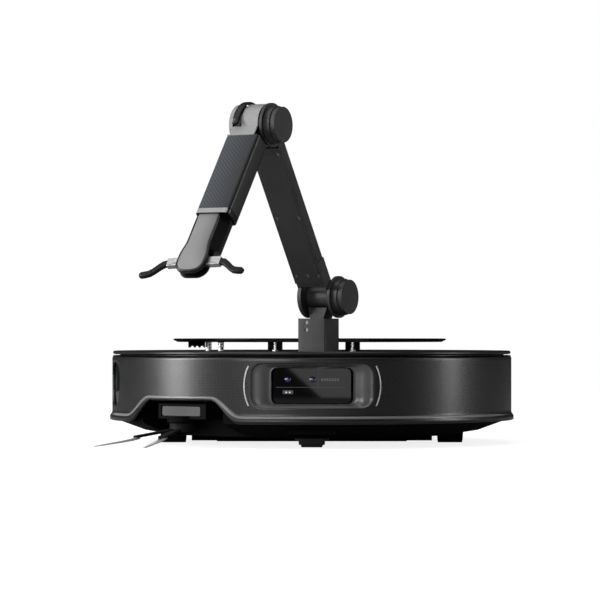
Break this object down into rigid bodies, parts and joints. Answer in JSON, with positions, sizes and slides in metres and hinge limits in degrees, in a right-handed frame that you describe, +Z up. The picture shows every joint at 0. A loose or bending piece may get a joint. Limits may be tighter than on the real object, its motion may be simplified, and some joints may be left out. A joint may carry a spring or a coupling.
{
  "type": "robot vacuum cleaner with gripper arm",
  "caption": "Round robot vacuum cleaner with a raised lid, a front camera window, a side brush and a folding arm that ends in a gripper.",
  "frame": {"origin": "on the floor under the centre of the round body", "axes": "+Z up, +Y to the rear of the robot, +X to the right of a person who faces the robot's front"},
  "size_m": [0.3574, 0.502, 0.2821],
  "materials": {
    "body_black": "satin moulded plastic with a fine chequered texture",
    "tray_black": "matt moulded plastic",
    "deck_black": "smooth dark plastic",
    "lid_black": "gloss black plastic",
    "window_black": "smoked gloss window",
    "lens_blue": "coated lens",
    "lamp_white": "clear lamp lens over white",
    "battery_wrap": "shrink wrap over cells",
    "board_green": "circuit board with chips",
    "grey_plastic": "matt grey plastic",
    "bin_smoke": "smoke grey plastic",
    "contact_metal": "plated contact strips",
    "motor_steel": "brushed motor can",
    "bright_aluminium": "machined aluminium",
    "screw_steel": "zinc plated",
    "trim_silver": "silver grey paint line",
    "light_silver": "translucent light line",
    "hub_grey": "matt grey plastic",
    "tyre_black": "ribbed rubber",
    "caster_black": "matt hard plastic",
    "axle_steel": "ground steel pin",
    "bristle_white": "nylon bristles",
    "brush_rubber": "soft rubber fins",
    "arm_black": "fine satin black paint",
    "arm_gloss": "gloss black cover",
    "sleeve_grey": "fine diagonal mesh texture",
    "band_grey": "satin light grey band",
    "cable_black": "flat flexible cable",
    "head_black": "smooth black plastic",
    "face_silver": "satin silver face",
    "knuckle_silver": "machined aluminium",
    "finger_black": "black rubberised finger"
  },
  "bodies": {
    "chassis": {"chassis_tray": "tray_black", "rear_shell": "body_black", "top_deck": "deck_black", "arm_bay_tray": "tray_black", "camera_housing": "tray_black", "camera_glass": "window_black", "camera_lenses": "lens_blue", "lamp_bar": "lamp_white", "battery_pack": "battery_wrap", "main_board": "board_green", "fan_housing": "grey_plastic", "dust_bin": "bin_smoke", "charge_contacts": "contact_metal", "brush_guard": "tray_black", "brush_motor": "motor_steel", "arm_bearing": "bright_aluminium", "chassis_screws": "screw_steel"},
    "bumper": {"bumper_shell": "body_black", "bumper_trim": "trim_silver", "light_arcs": "light_silver", "wall_sensor_window": "window_black"},
    "power_button": {"power_button": "grey_plastic"},
    "wheel_arm_left": {"wheel_arm_left": "grey_plastic"},
    "wheel_left": {"wheel_hub_left": "hub_grey", "wheel_tyre_left": "tyre_black"},
    "wheel_arm_right": {"wheel_arm_right": "grey_plastic"},
    "wheel_right": {"wheel_hub_right": "hub_grey", "wheel_tyre_right": "tyre_black"},
    "caster_fork": {"caster_fork": "caster_black", "caster_axle": "axle_steel"},
    "caster_wheel": {"caster_wheel": "caster_black"},
    "side_arm": {"side_brush_arm": "tray_black", "side_brush_panel": "grey_plastic"},
    "side_brush": {"side_brush_hub": "caster_black", "side_brush_bristles": "bristle_white"},
    "roller": {"roller_core": "grey_plastic", "roller_fins": "brush_rubber"},
    "fan": {"fan_impeller": "grey_plastic"},
    "lid": {"lid_plate": "lid_black", "lid_posts": "bright_aluminium", "lid_brackets": "tray_black"},
    "turntable": {"turntable": "arm_black"},
    "column": {"column": "arm_black", "column_screws": "screw_steel"},
    "upper_arm": {"upper_arm_frame": "arm_black", "upper_arm_cover": "arm_gloss", "upper_arm_screws": "screw_steel", "shoulder_cap": "arm_black", "elbow_cap": "arm_black"},
    "forearm": {"forearm_sleeve": "arm_gloss", "forearm_skin": "sleeve_grey", "forearm_bands": "band_grey", "flex_cable": "cable_black"},
    "gripper": {"gripper_housing": "head_black", "gripper_faceplate": "face_silver"},
    "finger_left": {"knuckle_left": "knuckle_silver", "finger_left": "finger_black"},
    "finger_right": {"knuckle_right": "knuckle_silver", "finger_right": "finger_black"}
  },
  "joints": [
    {"name": "bumper_press", "type": "slide", "parent": "chassis", "child": "bumper", "axis": [0, 1, 0], "range_m": [0, 0.003], "stiffness_N_per_m": 600, "springref_m": -0.001},
    {"name": "power_button_press", "type": "slide", "parent": "chassis", "child": "power_button", "axis": [0, 0, 1], "range_m": [-0.001, 0], "stiffness_N_per_m": 400, "springref_m": 0.0006},
    {"name": "wheel_swing_left", "type": "hinge", "parent": "chassis", "child": "wheel_arm_left", "pos_m": [-0.1, 0.042, 0.04], "axis": [1, 0, 0], "range_deg": [0, 12], "stiffness_Nm_per_rad": 0.6, "springref_deg": 20.05},
    {"name": "wheel_spin_left", "type": "hinge", "parent": "wheel_arm_left", "child": "wheel_left", "pos_m": [-0.121, 0, 0.035], "axis": [1, 0, 0], "continuous": true},
    {"name": "wheel_swing_right", "type": "hinge", "parent": "chassis", "child": "wheel_arm_right", "pos_m": [0.1, 0.042, 0.04], "axis": [1, 0, 0], "range_deg": [0, 12], "stiffness_Nm_per_rad": 0.6, "springref_deg": 20.05},
    {"name": "wheel_spin_right", "type": "hinge", "parent": "wheel_arm_right", "child": "wheel_right", "pos_m": [0.121, 0, 0.035], "axis": [1, 0, 0], "continuous": true},
    {"name": "caster_swivel", "type": "hinge", "parent": "chassis", "child": "caster_fork", "pos_m": [0, -0.115, 0.03], "axis": [0, 0, 1], "continuous": true},
    {"name": "caster_roll", "type": "hinge", "parent": "caster_fork", "child": "caster_wheel", "pos_m": [0, -0.12, 0.013], "axis": [1, 0, 0], "continuous": true},
    {"name": "side_arm_swing", "type": "hinge", "parent": "chassis", "child": "side_arm", "pos_m": [-0.08668, -0.13445, 0.03], "axis": [0, 0, 1], "range_deg": [0, 22]},
    {"name": "side_brush_spin", "type": "hinge", "parent": "side_arm", "child": "side_brush", "pos_m": [-0.10905, -0.12196, 0.02], "axis": [0, 0, 1], "continuous": true},
    {"name": "roller_spin", "type": "hinge", "parent": "chassis", "child": "roller", "pos_m": [0, -0.006, 0.02], "axis": [1, 0, 0], "continuous": true},
    {"name": "fan_spin", "type": "hinge", "parent": "chassis", "child": "fan", "pos_m": [0, 0.096, 0.02], "axis": [0, 0, 1], "continuous": true},
    {"name": "lid_lift", "type": "slide", "parent": "chassis", "child": "lid", "axis": [0, 0, 1], "range_m": [-0.007, 0]},
    {"name": "arm_yaw", "type": "hinge", "parent": "chassis", "child": "turntable", "pos_m": [0.0056, -0.127, 0.05], "axis": [0, 0, 1], "range_deg": [-150, 120]},
    {"name": "arm_lift", "type": "slide", "parent": "turntable", "child": "column", "axis": [0, 0, 1], "range_m": [-0.015, 0]},
    {"name": "shoulder_fold", "type": "hinge", "parent": "column", "child": "upper_arm", "pos_m": [0.0056, -0.127, 0.1258], "axis": [-0.859, 0.512, 0], "range_deg": [-38, 118]},
    {"name": "elbow_fold", "type": "hinge", "parent": "upper_arm", "child": "forearm", "pos_m": [-0.04885, -0.21834, 0.26289], "axis": [0.859, -0.512, 0], "range_deg": [-85, 58]},
    {"name": "gripper_extend", "type": "slide", "parent": "forearm", "child": "gripper", "axis": [-0.2995, -0.5025, -0.8111], "range_m": [-0.018, 0.012]},
    {"name": "finger_right_close", "type": "hinge", "parent": "gripper", "child": "finger_right", "pos_m": [-0.08296, -0.29938, 0.15123], "axis": [0.4153, 0.6967, -0.585], "range_deg": [0, 84]},
    {"name": "finger_left_close", "type": "hinge", "parent": "gripper", "child": "finger_left", "pos_m": [-0.10013, -0.28914, 0.15123], "axis": [-0.4153, -0.6967, 0.585], "range_deg": [0, 84]}
  ],
  "couplings": [
    {"joint": "finger_left_close", "follows": "finger_right_close", "ratio": 1}
  ]
}
